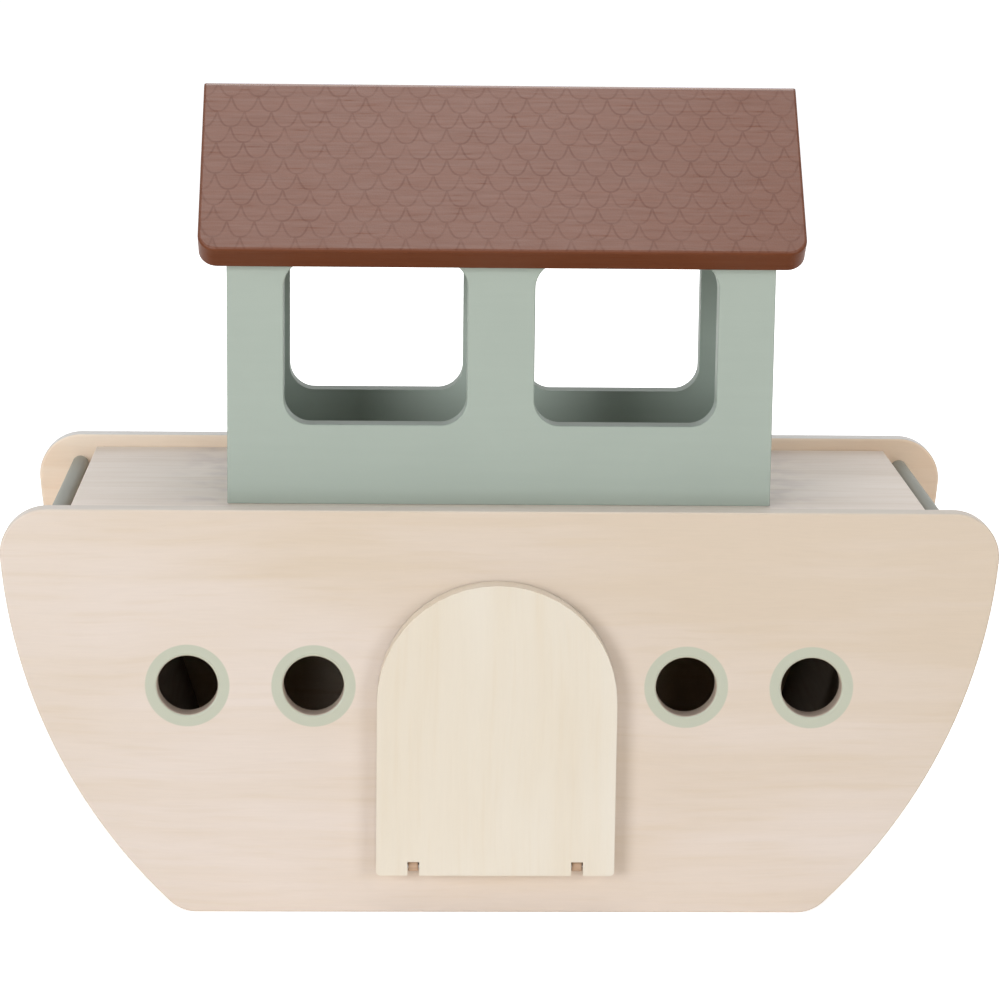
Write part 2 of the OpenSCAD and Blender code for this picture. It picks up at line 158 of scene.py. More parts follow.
# The rubbed ridge: where it lies on a board, its gloss, and how much smoother it is
RIDGE_UP, RIDGE_OUT = (-0.0013, -0.0006), (-0.0016, -0.0010)
RIDGE_GLOSS, RIDGE_SMOOTH = 0.8, 0.2
ROOF_ROUGH = 0.42
# Dark specks on the roof
SPECK_CELLS, SPECK_STRETCH, SPECK_SPAN, SPECK_DEPTH = 330.0, 0.35, (0.80, 0.84), 0.7
# Faces round a dowel, and across a roof board's lower corners, its rim and its upper edge
DOWEL_FACES, CORNER_FACES, RIM_FACES, RIDGE_FACES = 64, 14, 6, 4
# Faces across edges that hardly show
FINE_FACES = 2
# Half the floor's length, and where its glow begins to grow and where it is white
FLOOR_HALF, GLOW_NEAR, GLOW_FAR = 12.0, 0.35, 1.0
FLOOR_ROUGH, FLOOR_GLOSS = 0.9, 0.1
# Softboxes: name, setting that holds the brightness, place, height aimed at, size, shown in gloss
SOFTBOXES = (
    ("Left softbox", "key", (-0.87, -1.34, 0.46), 0.46, (0.62, 0.74), True),
    ("Right softbox", "fill", (0.87, -1.34, 0.46), 0.46, (0.62, 0.74), True),
    ("Top softbox", "top", (0.02, -0.10, 1.35), DECK_HIGH.z, (0.75, 0.55), True),
    ("Back softbox", "back", (0.0, 1.5, 0.62), DECK_HIGH.z, (2.4, 0.9), False),
    ("Left side softbox", "side", (-1.45, -0.25, 0.5), DECK_HIGH.z, (0.9, 0.8), False),
    ("Right side softbox", "side", (1.45, -0.25, 0.5), DECK_HIGH.z, (0.9, 0.8), False),
    ("Front card", "card", (0.0, -1.45, 0.10), DECK_HIGH.z, (1.3, 0.18), False),
)
WHITE = (1.0, 1.0, 1.0, 1.0)


def srgb(red, green, blue):
    """Linear colour of a screen colour that is written in bytes."""
    def linear(byte):
        share = byte / 255
        return share / 12.92 if share <= 0.04045 else ((share + 0.055) / 1.055) ** 2.4
    return (linear(red), linear(green), linear(blue), 1.0)


def colour(name, description, red, green, blue):
    """A colour that the user can change."""
    return FloatVectorProperty(name=name, description=description, subtype="COLOR", size=4,
                               min=0.0, max=1.0, default=srgb(red, green, blue))


def length(name, description, default, low, high):
    """A length that the user can change."""
    return FloatProperty(name=name, description=description, subtype="DISTANCE", unit="LENGTH",
                         precision=5, default=default, min=low, max=high)


class ArkEdges(bpy.types.PropertyGroup):
    """Rounding of the ark's edges"""
    panel: length("Side panels", "Radius along the edges of the side panels",
                  0.0010, 0.0002, 0.003)
    ramp: length("Ramp", "Radius along the edges of the ramp", 0.0009, 0.0002, 0.0014)
    deck: length("Deck", "Radius along the edges of the deck", 0.0005, 0.0001, 0.002)
    wall: length("Cabin walls", "Radius along the windows and corners", 0.0009, 0.0002, 0.002)
    foot: length("Cabin foot", "Radius where the cabin's walls meet the deck",
                 0.0006, 0.0001, 0.002)
    joint: length("Joints", "Radius of the edges where two boards meet", 0.0003, 0.0001, 0.001)
    board: length("Inner boards", "Radius along the boards of the hold", 0.0005, 0.0001, 0.002)
    roof: length("Roof rim", "Radius along the eaves and ends of the roof", 0.0011, 0.0005, 0.004)
    roof_corner: length("Roof corners", "Radius of the lower corners, square to the board",
                        0.0065, 0.002, 0.01)
    ridge: length("Ridge", "Radius along the ridge", 0.0016, 0.0002, 0.004)
    steps: IntProperty(name="Steps", description="Faces across a rounded edge",
                       default=4, min=1, max=8)


class ArkRoof(bpy.types.PropertyGroup):
    """Sizes of the roof boards and of their scale pattern"""
    thickness: length("Board thickness", "Thickness of a roof board", 0.0100, 0.005, 0.013)
    slope: length("Slope length", "Length of a roof board down its slope", 0.0719, 0.06, 0.08)
    scale_width: length("Scale width", "Width of a scale of the pattern", 0.00925, 0.004, 0.02)
    scale_row: length("Scale row", "Step from one row of scales to the next",
                      0.00677, 0.003, 0.02)
    line: length("Line width", "Width of the lines of the pattern", 0.0006, 0.0002, 0.002)
    first_row: length("First row", "Place of the first row's lower tips down the slope",
                      0.00559, 0.0, 0.02)
    first_scale: length("First scale", "Shift of the scales along the ridge",
                        -0.00034, -0.02, 0.02)
    roundness: FloatProperty(name="Roundness", description="How broad the round of a scale is",
                             default=2.8, min=1.5, max=4.0)


class ArkColours(bpy.types.PropertyGroup):
    """Colours of the woods and paints"""
    panel: colour("Panel wood", "Pale wood of the hull", 224, 213, 205)
    panel_warm: colour("Panel grain", "Darker bands in the hull's wood", 214, 199, 181)
    # The rear panel's wood is paler than the front panel's: painted light that makes up for its
    # shaded inner face
    rear: colour("Rear panel wood", "Wood of the rear side panel, paler as painted light for its shaded inner face", 246, 231, 214)
    rear_warm: colour("Rear panel grain", "Darker bands in the rear panel's wood", 231, 207, 182)
    # Painted reflection: a pale grey on the panels' edges for the sheen of the pale surroundings at
    # a grazing angle
    rim: colour("Panel edge sheen", "Painted sheen on the outer edges of the side panels", 222, 221, 220)
    edge: colour("Cut edges", "Sawn edges of the ramp and walls of the portholes", 190, 162, 136)
    ramp: colour("Ramp wood", "Creamy wood of the ramp", 230, 225, 214)
    ramp_warm: colour("Ramp grain", "Darker bands in the ramp's wood", 221, 209, 188)
    inner: colour("Inner wood", "Wood of the hold's boards", 194, 178, 154)
    inner_warm: colour("Inner grain", "Darker bands in the hold's wood", 170, 150, 123)
    deck: colour("Deck wood", "Wood of the deck", 239, 227, 217)
    deck_warm: colour("Deck grain", "Darker bands in the deck's wood", 219, 203, 187)
    # Painted shade: a purplish grey that stands for the cabin's shade on the deck beside it
    cabin_shade: colour("Painted deck shade", "Painted shade of the cabin on the deck beside it", 196, 181, 178)
    sage: colour("Sage paint", "Paint of the cabin", 168, 181, 172)
    ring: colour("Ring paint", "Paint round the portholes", 188, 194, 178)
    dowel: colour("Dowel paint", "Paint of the dowels", 144, 145, 136)
    roof: colour("Roof paint", "Paint of the roof", 106, 59, 36)
    scale_line: colour("Scale lines", "Lines of the roof's pattern", 72, 40, 38)
    # The lug colours are darker than the panel wood: painted shade of the notches that the lugs sit
    # in
    lug: colour("Lug wood", "Wood of the hinge lugs, darkened as painted shade of their notches", 196, 168, 144)
    lug_warm: colour("Lug grain", "Darker bands in the lugs' wood", 176, 146, 120)
    steel: colour("Steel", "Pins, screws and magnets", 190, 190, 192)


class ArkRings(bpy.types.PropertyGroup):
    """Painted rings round the portholes"""
    radius: length("Ring radius", "Outer radius of a painted ring", 0.0142, 0.011, 0.02)
    blur: length("Ring edge", "Softness of a ring's outer edge", 0.00025, 0.0, 0.002)


class ArkStudio(bpy.types.PropertyGroup):
    """Camera and lights"""
    camera_place: FloatVectorProperty(name="Camera place", description="Where the camera stands",
                                      subtype="TRANSLATION", default=(-0.03704, -1.19468, 0.38211))
    camera_yaw: FloatProperty(name="Camera yaw", description="Turn of the camera to the right",
                              subtype="ANGLE", default=0.0321)
    camera_pitch: FloatProperty(name="Camera pitch", description="How far the camera looks down",
                                subtype="ANGLE", default=0.2075)
    camera_roll: FloatProperty(name="Camera roll", description="Turn of the camera about its view",
                               subtype="ANGLE", default=0.0119)
    lens: FloatProperty(name="Focal length", description="Focal length of the camera",
                        subtype="DISTANCE_CAMERA", default=124.32, min=20.0, max=300.0)
    ambient: FloatProperty(name="Ambient", description="Light that comes from all around",
                           default=0.05, min=0.0, max=1.0)
    key: FloatProperty(name="Left light", description="Brightness of the left softbox",
                       default=8.3, min=0.0, max=20.0)
    fill: FloatProperty(name="Right light", description="Brightness of the right softbox",
                        default=4.8, min=0.0, max=20.0)
    top: FloatProperty(name="Top light", description="Brightness of the overhead softbox",
                       default=4.5, min=0.0, max=20.0)
    back: FloatProperty(name="Back light", description="Brightness of the wide softbox behind",
                        default=1.8, min=0.0, max=20.0)
    side: FloatProperty(name="Side lights", description="Brightness of the softboxes at both sides",
                        default=1.4, min=0.0, max=20.0)
    card: FloatProperty(name="Front card", description="Brightness of the low card in front",
                        default=1.0, min=0.0, max=20.0)
    floor: colour("Floor", "Colour of the floor as the picture shows it", 240, 240, 240)
    bounce: colour("Bounce", "Colour of the light that the floor throws back", 247, 237, 225)
    floor_glow: FloatProperty(name="Floor white", default=0.72, min=0.0, max=1.0,
                              description="White that the floor adds in the picture")


# Materials

class Finish:
    """A material in the making, with short ways to add nodes to it."""

    def __init__(self, name):
        self.material = bpy.data.materials.new(name)
        self.material.use_nodes = True
        self.tree = self.material.node_tree
        self.shader = self.tree.nodes["Principled BSDF"]
        source = self.tree.nodes.new("ShaderNodeTexCoord")
        self.place, self.facing = source.outputs["Object"], source.outputs["Normal"]

    def put(self, socket, value):
        """Links an output to a socket, or sets the socket's own value."""
        if isinstance(value, bpy.types.NodeSocket):
            self.tree.links.new(value, socket)
        else:
            socket.default_value = value

    def math(self, operation, first, second=0.0, third=0.0, clamp=False):
        """Calculates with numbers."""
        node = self.tree.nodes.new("ShaderNodeMath")
        node.operation = operation
        node.use_clamp = clamp
        for socket, value in zip(node.inputs, (first, second, third)):
            self.put(socket, value)
        return node.outputs[0]

    def vector(self, operation, first, second=(0.0, 0.0, 0.0), third=(0.0, 0.0, 0.0)):
        """Calculates with places and directions."""
        node = self.tree.nodes.new("ShaderNodeVectorMath")
        node.operation = operation
        for socket, value in zip(node.inputs, (first, second, third)):
            self.put(socket, value)
        gives_number = operation in {"LENGTH", "DISTANCE", "DOT_PRODUCT"}
        return node.outputs["Value" if gives_number else "Vector"]

    def mapped(self, place, location=(0.0, 0.0, 0.0), turn=(0.0, 0.0, 0.0),
               scale=(1.0, 1.0, 1.0)):
        """A place that is moved, turned or stretched."""
        node = self.tree.nodes.new("ShaderNodeMapping")
        self.put(node.inputs["Vector"], place)
        node.inputs["Location"].default_value = location
        node.inputs["Rotation"].default_value = turn
        node.inputs["Scale"].default_value = scale
        return node.outputs[0]

    def split(self, place):
        """The X, Y and Z of a place."""
        node = self.tree.nodes.new("ShaderNodeSeparateXYZ")
        self.put(node.inputs[0], place)
        return node.outputs[0], node.outputs[1], node.outputs[2]

    def noise(self, place, scale, detail=2.0, roughness=0.5, output=0):
        """Noise as a number, or with output 1 as a colour."""
        node = self.tree.nodes.new("ShaderNodeTexNoise")
        self.put(node.inputs["Vector"], place)
        node.inputs["Scale"].default_value = scale
        node.inputs["Detail"].default_value = detail
        node.inputs["Roughness"].default_value = roughness
        return node.outputs[output]

    def span(self, value, low, high, start=0.0, end=1.0):
        """A soft step of value from start at low to end at high."""
        node = self.tree.nodes.new("ShaderNodeMapRange")
        node.interpolation_type = "SMOOTHSTEP"
        for name, number in (("Value", value), ("From Min", low), ("From Max", high),
                             ("To Min", start), ("To Max", end)):
            self.put(node.inputs[name], number)
        return node.outputs[0]

    def blend(self, share, first, second, mode="MIX"):
        """Goes from the first colour to the second by a share."""
        node = self.tree.nodes.new("ShaderNodeMix")
        node.data_type = "RGBA"
        node.blend_type = mode
        self.put(node.inputs[0], share)
        self.put(node.inputs[6], first)
        self.put(node.inputs[7], second)
        return node.outputs[2]

    def shade(self, base, level):
        """Makes a colour darker or lighter by a factor."""
        grey = self.tree.nodes.new("ShaderNodeCombineXYZ")
        for socket in grey.inputs:
            self.put(socket, level)
        return self.blend(1.0, base, grey.outputs[0], "MULTIPLY")

    def base(self):
        """The colour that the shader gets so far."""
        return self.shader.inputs["Base Color"].links[0].from_socket

    def edge_share(self):
        """1 on a board's sawn edges and 0 on its front and rear face."""
        turned = self.math("ABSOLUTE", self.split(self.facing)[1])
        return self.span(turned, *EDGE_SPAN, 1.0, 0.0)

    def recolour(self, base):
        """Gives the shader a new colour."""
        self.put(self.shader.inputs["Base Color"], base)

    def bump(self, height, distance):
        """Raises the surface a little where a pattern is high."""
        node = self.tree.nodes.new("ShaderNodeBump")
        node.inputs["Strength"].default_value = RELIEF_SHOWN
        node.inputs["Distance"].default_value = distance
        self.put(node.inputs["Height"], height)
        self.put(self.shader.inputs["Normal"], node.outputs[0])

    def surface(self, base, roughness, gloss=0.5):
        """Sets the shader's colour, roughness and gloss."""
        self.recolour(base)
        self.put(self.shader.inputs["Roughness"], roughness)
        self.shader.inputs["Specular IOR Level"].default_value = gloss


def grain(finish, along, seed):
    """Patterns that run along one axis: wide patches, bands, streaks and fine fibres."""
    axis = "XYZ".index(along)
    long, longer = [1.0, 1.0, 1.0], [1.0, 1.0, 1.0]
    long[axis], longer[axis] = PATCH_STRETCH, GRAIN_STRETCH
    shifted = finish.mapped(finish.place, location=[step * seed for step in SEED_WAY])
    sway = finish.noise(shifted, SWAY_CELLS, 1.0, output=1)
    sway = finish.vector("SUBTRACT", sway, (0.5, 0.5, 0.5))
    bent = finish.vector("MULTIPLY_ADD", sway, (SWAY, SWAY, SWAY), shifted)
    fibre_way = finish.mapped(bent, scale=longer)
    patches = finish.noise(finish.mapped(bent, scale=long), PATCH_CELLS)
    patches = finish.span(patches, *PATCH_SPAN)
    bands = finish.span(finish.noise(fibre_way, BAND_CELLS), *BAND_SPAN)
    streaks = finish.noise(fibre_way, STREAK_CELLS, roughness=0.55)
    fibres = finish.noise(fibre_way, FIBRE_CELLS, roughness=0.6)
    return patches, bands, streaks, fibres


def wood(name, light, warm, along, seed, roughness=0.48, figure=1.0, drift=None):
    """Sanded pale wood. A drift is a way, its start and end, and how much warmer the wood grows."""
    finish = Finish(name)
    patches, bands, streaks, fibres = grain(finish, along, seed)
    share = finish.math("MULTIPLY", bands, BAND_WARMTH * figure)
    share = finish.math("MULTIPLY_ADD", patches, PATCH_WARMTH, share)
    if drift:
        way, start, end, warmth = drift
        along_way = finish.vector("DOT_PRODUCT", finish.place, way)
        share = finish.math("ADD", share, finish.span(along_way, start, end, 0.0, warmth))
    thin = finish.span(streaks, *STREAK_SPAN, 0.0, STREAK_WARMTH * figure)
    share = finish.math("ADD", share, thin, clamp=True)
    level = finish.math("SUBTRACT", fibres, 0.5)
    level = finish.math("MULTIPLY_ADD", level, FIBRE_DEPTH * figure, 1.0)
    finish.surface(finish.shade(finish.blend(share, light, warm), level),
                   finish.span(streaks, *ROUGH_SPAN, *(roughness + step for step in WOOD_ROUGH)))
    finish.bump(finish.math("MULTIPLY_ADD", streaks, STREAK_RELIEF, fibres), RELIEF)
    return finish


def ringed_wood(name, colours, rings, seed):
    """Panel wood with a painted ring round each porthole and darker sawn walls in the holes."""
    finish = wood(name, colours.panel, colours.panel_warm, "X", seed, drift=FRONT_DRIFT)
    across, depth, height = finish.split(finish.place)
    flat = finish.tree.nodes.new("ShaderNodeCombineXYZ")
    finish.put(flat.inputs["X"], across)
    finish.put(flat.inputs["Z"], height)
    nearest = None
    for hole in PORTHOLES:
        away = finish.vector("DISTANCE", flat.outputs[0], (hole.x, 0.0, hole.z))
        nearest = away if nearest is None else finish.math("MINIMUM", nearest, away)
    ring = finish.span(nearest, rings.radius - rings.blur, rings.radius + rings.blur, 1.0, 0.0)
    front = finish.span(depth, *(PANEL_LOW.y + behind for behind in RING_DEPTH), 1.0, 0.0)
    cover = finish.math("MULTIPLY", finish.math("MULTIPLY", ring, front), RING_COVER)
    wall = finish.span(nearest, *(HOLE_RADIUS + beyond for beyond in SAWN_EDGE), 1.0, 0.0)
    sawn = finish.math("MULTIPLY", wall, finish.edge_share())
    base = finish.blend(cover, finish.base(), colours.ring)
    finish.recolour(finish.blend(sawn, base, colours.edge))
    return finish


def end_wood(name, colours, seed):
    """Hull wood on the outer side of the end boards, with painted shade darkening the side that
    faces the hold.
    """
    finish = wood(name, colours.rear, colours.rear_warm, "Y", seed)
    across, turned = finish.split(finish.place)[0], finish.split(finish.facing)[0]
    inside = finish.span(finish.math("MULTIPLY", across, turned), *INNER_FACE, 1.0, 0.0)
    # Painted shade: the side that faces the hold is darkened as if unlit
    painted_shade = finish.shade(finish.base(), HOLD_PAINTED_SHADE)
    finish.recolour(finish.blend(inside, finish.base(), painted_shade))
    finish.shader.inputs["Specular IOR Level"].default_value = END_GLOSS
    return finish


def paint(name, base, along, seed, roughness=0.5, gloss=0.5, cloud=0.05, streak=0.05):
    """Satin paint over wood, a little uneven, with the grain just showing."""
    finish = Finish(name)
    stretch = [1.0, 1.0, 1.0]
    stretch["XYZ".index(along)] = GRAIN_STRETCH
    place = finish.mapped(finish.place, location=(seed, seed, seed))
    clouds = finish.noise(place, CLOUD_CELLS, 3.0, 0.55)
    lines = finish.noise(finish.mapped(place, scale=stretch), LINE_CELLS, 3.0, 0.6)
    peel = finish.noise(place, PEEL_CELLS)
    level = finish.math("MULTIPLY_ADD", clouds, cloud, 1.0 - cloud / 2)
    level = finish.math("MULTIPLY_ADD", finish.math("SUBTRACT", lines, 0.5), streak, level)
    finish.surface(finish.shade(base, level),
                   finish.span(clouds, *ROUGH_SPAN, *(roughness + step for step in PAINT_ROUGH)),
                   gloss)
    finish.bump(finish.math("MULTIPLY_ADD", lines, LINE_RELIEF, peel), RELIEF)
    return finish


def scale_paint(name, colours, roof, to_world, seed):
    """Roof paint with a line pattern of round scales on a board's outer face."""
    finish = paint(name, colours.roof, "X", seed, ROOF_ROUGH, cloud=0.04, streak=0.22)
    to_board = to_world.inverted()
    board = finish.mapped(finish.place, to_board.translation, to_board.to_euler("XYZ"))
    along, up, out = finish.split(board)
    row = finish.math("DIVIDE", finish.math("SUBTRACT", -roof.first_row, up), roof.scale_row)
    number = finish.math("FLOOR", row)
    part = finish.math("SUBTRACT", row, number)
    column = finish.math("SUBTRACT", along, roof.first_scale)
    column = finish.math("DIVIDE", column, roof.scale_width)
    column = finish.math("FRACT", finish.math("MULTIPLY_ADD", number, 0.5, column))
    side = finish.math("ABSOLUTE", finish.math("MULTIPLY_ADD", column, 2.0, -1.0))

    def from_curve(side, part):
        """Distance from the lower edge of a row of scales."""
        curve = finish.math("SUBTRACT", 1.0, finish.math("POWER", side, roof.roundness))
        fall = finish.math("MULTIPLY", finish.math("POWER", side, roof.roundness - 1.0),
                           2.0 * roof.roundness * roof.scale_row / roof.scale_width)
        lean = finish.math("SQRT", finish.math("MULTIPLY_ADD", fall, fall, 1.0))
        gap = finish.math("ABSOLUTE", finish.math("SUBTRACT", part, curve))
        return finish.math("DIVIDE", finish.math("MULTIPLY", gap, roof.scale_row), lean)

    own = from_curve(side, part)
    above = from_curve(finish.math("SUBTRACT", 1.0, side), finish.math("ADD", part, 1.0))
    away = finish.math("MINIMUM", own, above)
    line = finish.span(away, LINE_CORE * roof.line, roof.line, 1.0, 0.0)
    wear = finish.noise(finish.place, WEAR_CELLS, 3.0, 0.6)
    line = finish.math("MULTIPLY", line, finish.span(wear, *WEAR_SPAN, WEAR_LEFT, 1.0))
    top_face = finish.span(out, *FACE_EDGE)
    line = finish.math("MULTIPLY", line, top_face)

    # Gloss of the outer faces, less on lines, streaks, scratches and dull patches
    outside = finish.math("MAXIMUM", top_face, finish.span(up, *FACE_EDGE))
    gloss = finish.math("MULTIPLY_ADD", outside, OUTSIDE_GLOSS, INSIDE_GLOSS)
    marks = finish.mapped(board, scale=(GRAIN_STRETCH, 1.0, 1.0))
    marks = finish.noise(marks, MARK_CELLS, roughness=0.6)
    patches = finish.noise(board, DULL_CELLS)
    patches = finish.math("MULTIPLY_ADD", patches, DULL_SWAY, along)
    for share in (finish.math("MULTIPLY_ADD", line, -LINE_DULL, 1.0),
                  finish.math("MULTIPLY_ADD", marks, MARK_GLOSS, 1.0 - MARK_GLOSS / 2),
                  finish.span(marks, *SCRATCH_SPAN, SCRATCH_GLOSS, 1.0),
                  finish.span(patches, *DULL_SPAN, 1.0, DULL_GLOSS)):
        gloss = finish.math("MULTIPLY", gloss, share)
    ridge = finish.math("MULTIPLY", finish.span(up, *RIDGE_UP, 0.0, RIDGE_GLOSS),
                        finish.span(out, *RIDGE_OUT))
    gloss = finish.math("MAXIMUM", gloss, ridge)
    finish.put(finish.shader.inputs["Specular IOR Level"], gloss)
    rough = finish.math("MULTIPLY_ADD", ridge, -RIDGE_SMOOTH, ROOF_ROUGH)
    finish.put(finish.shader.inputs["Roughness"], rough)

    specks = finish.mapped(board, scale=(SPECK_STRETCH, 1.0, 1.0))
    specks = finish.span(finish.noise(specks, SPECK_CELLS, 1.0), *SPECK_SPAN, 0.0, SPECK_DEPTH)
    specks = finish.math("MULTIPLY", specks, top_face)
    painted = finish.blend(specks, finish.base(), colours.scale_line)
    line = finish.math("MULTIPLY", line, LINE_COLOUR)
    finish.recolour(finish.blend(line, painted, colours.scale_line))
    return finish


def metal(name, base):
    """Turned steel with fine marks."""
    finish = Finish(name)
    marks = finish.mapped(finish.place, scale=(1.0, 1.0, STEEL_STRETCH))
    marks = finish.noise(marks, STEEL_CELLS, 3.0)
    finish.surface(base, finish.span(marks, *ROUGH_SPAN, *STEEL_ROUGH))
    finish.shader.inputs["Metallic"].default_value = 1.0
    finish.bump(marks, STEEL_RELIEF)
    return finish


# Shapes

def merged_copy(node):
    """A construction node's mesh, with its triangles joined into flat faces."""
    bm = bmesh.new()
    bm.from_mesh(NODES[node].data)
    bmesh.ops.remove_doubles(bm, verts=bm.verts, dist=MERGE)
    bmesh.ops.dissolve_limit(bm, angle_limit=FLAT, verts=bm.verts, edges=bm.edges)
    return bm


def middle(edge):
    """The point halfway along an edge."""
    return (edge.verts[0].co + edge.verts[1].co) / 2


def sharp_chains(bm):
    """Sharp edges, in groups that hang together."""
    sharp = {e for e in bm.edges if e.is_manifold and e.calc_face_angle() > SHARP}
    left = sorted(sharp, key=lambda e: e.index)
    done = set()
    for first in left:
        if first in done:
            continue
        chain, open_edges = [], [first]
        done.add(first)
        while open_edges:
            edge = open_edges.pop()
            chain.append(edge)
            for near in (e for v in edge.verts for e in v.link_edges):
                if near in sharp and near not in done:
                    done.add(near)
                    open_edges.append(near)
        yield chain


def reach(chain):
    """Longest side of the box round a group of edges."""
    points = [v.co for edge in chain for v in edge.verts]
    return max(max(p[i] for p in points) - min(p[i] for p in points) for i in range(3))


def round_off(bm, edges, radius, faces, fits=False):
    """Rounds edges. With fits, the radius shrinks where there is no room for it."""
    bmesh.ops.bevel(bm, geom=edges, offset=radius, offset_type="OFFSET", segments=faces,
                    profile=0.5, affect="EDGES", clamp_overlap=fits, material=-1)


def ease(bm, radius, faces, wanted=None):
    """Rounds the sharp edges of a board, or those whose middle is wanted, but no bores."""
    bm.edges.index_update()
    edges = [edge for chain in sharp_chains(bm) if reach(chain) > BORE_SPAN for edge in chain
             if wanted is None or wanted(middle(edge))]
    round_off(bm, edges, radius, faces, fits=True)


def add_piece(name, bm, finish, body, slot, *replaced):
    """Turns a shape into a piece that rides on a body in place of construction nodes."""
    bm.normal_update()
    for face in bm.faces:
        face.smooth = True
        face.material_index = 0
    for edge in bm.edges:
        edge.smooth = not edge.is_manifold or edge.calc_face_angle() < SHARP
    mesh = bpy.data.meshes.new(name)
    bm.to_mesh(mesh)
    bm.free()
    if "custom_normal" in mesh.attributes:
        mesh.attributes.remove(mesh.attributes["custom_normal"])
    mesh.materials.append(finish.material)
    piece = bpy.data.objects.new(name, mesh)
    bpy.context.scene.collection.objects.link(piece)
    even = piece.modifiers.new("Even shading", "WEIGHTED_NORMAL")
    even.keep_sharp = True
    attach(piece, body)
    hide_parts(*replaced)
    return piece


def add_board(name, node, finish, body, slot, radius, faces):
    """Makes a piece of a construction board, with its edges eased."""
    bm = merged_copy(node)
    ease(bm, radius, faces)
    add_piece(name, bm, finish, body, slot, node)


def dress(finish, *names):
    """Gives construction nodes that stay in the picture their finish."""
    for name in names:
        mesh = NODES[name].data
        mesh.materials.clear()
        mesh.materials.append(finish.material)


# Operators

class ARK_OT_side_panels(bpy.types.Operator):
    """Round the side panels' edges, paint a pale sheen on them and paint the rings round the
    portholes
    """
    bl_idname = "ark.side_panels"
    bl_label = "Side panels"

    def execute(self, context):
        scene = context.scene
        edges, colours = scene.ark_edges, scene.ark_colours
        front = ringed_wood("Front panel wood", colours, scene.ark_rings, seed=0.31)
        # The rear panel's drift is partly painted shade on its right part
        rear = wood("Rear panel wood", colours.rear, colours.rear_warm, "X", seed=1.87,
                    drift=REAR_DRIFT)
        for name, node, finish, pale in (("front_panel", "front_side_panel", front, FRONT_EDGE_SHEEN),
                                         ("rear_panel", "rear_side_panel", rear, REAR_EDGE_SHEEN)):
            # Painted sheen: the edges blend towards the pale grey rim colour
            rim = finish.math("MULTIPLY", finish.edge_share(), pale)
            finish.recolour(finish.blend(rim, finish.base(), colours.rim))
            add_board(name, node, finish, "hull", "basswood", edges.panel, edges.steps)
        return {"FINISHED"}


class ARK_OT_hold_boards(bpy.types.Operator):
    """Round the boards and ledges inside the hull"""
    bl_idname = "ark.hold_boards"
    bl_label = "Hold boards"

    def execute(self, context):
        edges, colours = context.scene.ark_edges, context.scene.ark_colours
        lying = wood("Hold floor wood", colours.inner, colours.inner_warm, "X", seed=2.43)
        standing = end_wood("Hold end wood", colours, seed=3.19)
        for name, node, finish in (("hold_floor", "bottom_board", lying),
                                   ("bow_end", "bow_end_board", standing),
                                   ("stern_end", "stern_end_board", standing),
                                   ("front_rest", "front_ledge", lying),
                                   ("rear_rest", "rear_ledge", lying)):
            add_board(name, node, finish, "hull", "inner_wood", edges.board, edges.steps)
        return {"FINISHED"}


class ARK_OT_dowels(bpy.types.Operator):
    """Paint the round rods across the bow and the stern"""
    bl_idname = "ark.dowels"
    bl_label = "Dowels"

    def execute(self, context):
        edges, colours = context.scene.ark_edges, context.scene.ark_colours
        finish = paint("Dowel paint", colours.dowel, "Y", seed=0.77, cloud=0.08, streak=0.10)
        for name, node in (("bow_rod", "bow_dowel"), ("stern_rod", "stern_dowel")):
            low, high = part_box(node)
            size = high - low
            place = Matrix.Translation((low + high) / 2) @ Matrix.Rotation(pi / 2, 4, "X")
            bm = bmesh.new()
            bmesh.ops.create_cone(bm, cap_ends=True, segments=DOWEL_FACES, radius1=size.x / 2,
                                  radius2=size.x / 2, depth=size.y, matrix=place)
            rims = [e for e in bm.edges if e.calc_face_angle() > SHARP]
            round_off(bm, rims, edges.joint, FINE_FACES)
            add_piece(name, bm, finish, "hull", "dowel_paint", node)
        return {"FINISHED"}


class ARK_OT_ramp(bpy.types.Operator):
    """Round the ramp and its two hinge lugs"""
    bl_idname = "ark.ramp"
    bl_label = "Ramp"

    def execute(self, context):
        edges, colours = context.scene.ark_edges, context.scene.ark_colours
        finish = wood("Ramp wood", colours.ramp, colours.ramp_warm, "Z", seed=4.61, figure=0.6)
        cut = finish.math("MULTIPLY", finish.edge_share(), RAMP_CUT)
        finish.recolour(finish.blend(cut, finish.base(), colours.edge))
        add_board("ramp", "ramp_door", finish, "ramp", "ramp_wood", edges.ramp, edges.steps)
        # The lugs' darker wood is painted shade of their notches
        finish = wood("Lug wood", colours.lug, colours.lug_warm, "Y", seed=5.3)
        add_board("lugs", "hinge_lugs", finish, "hull", "ramp_wood", edges.joint, edges.steps)
        return {"FINISHED"}


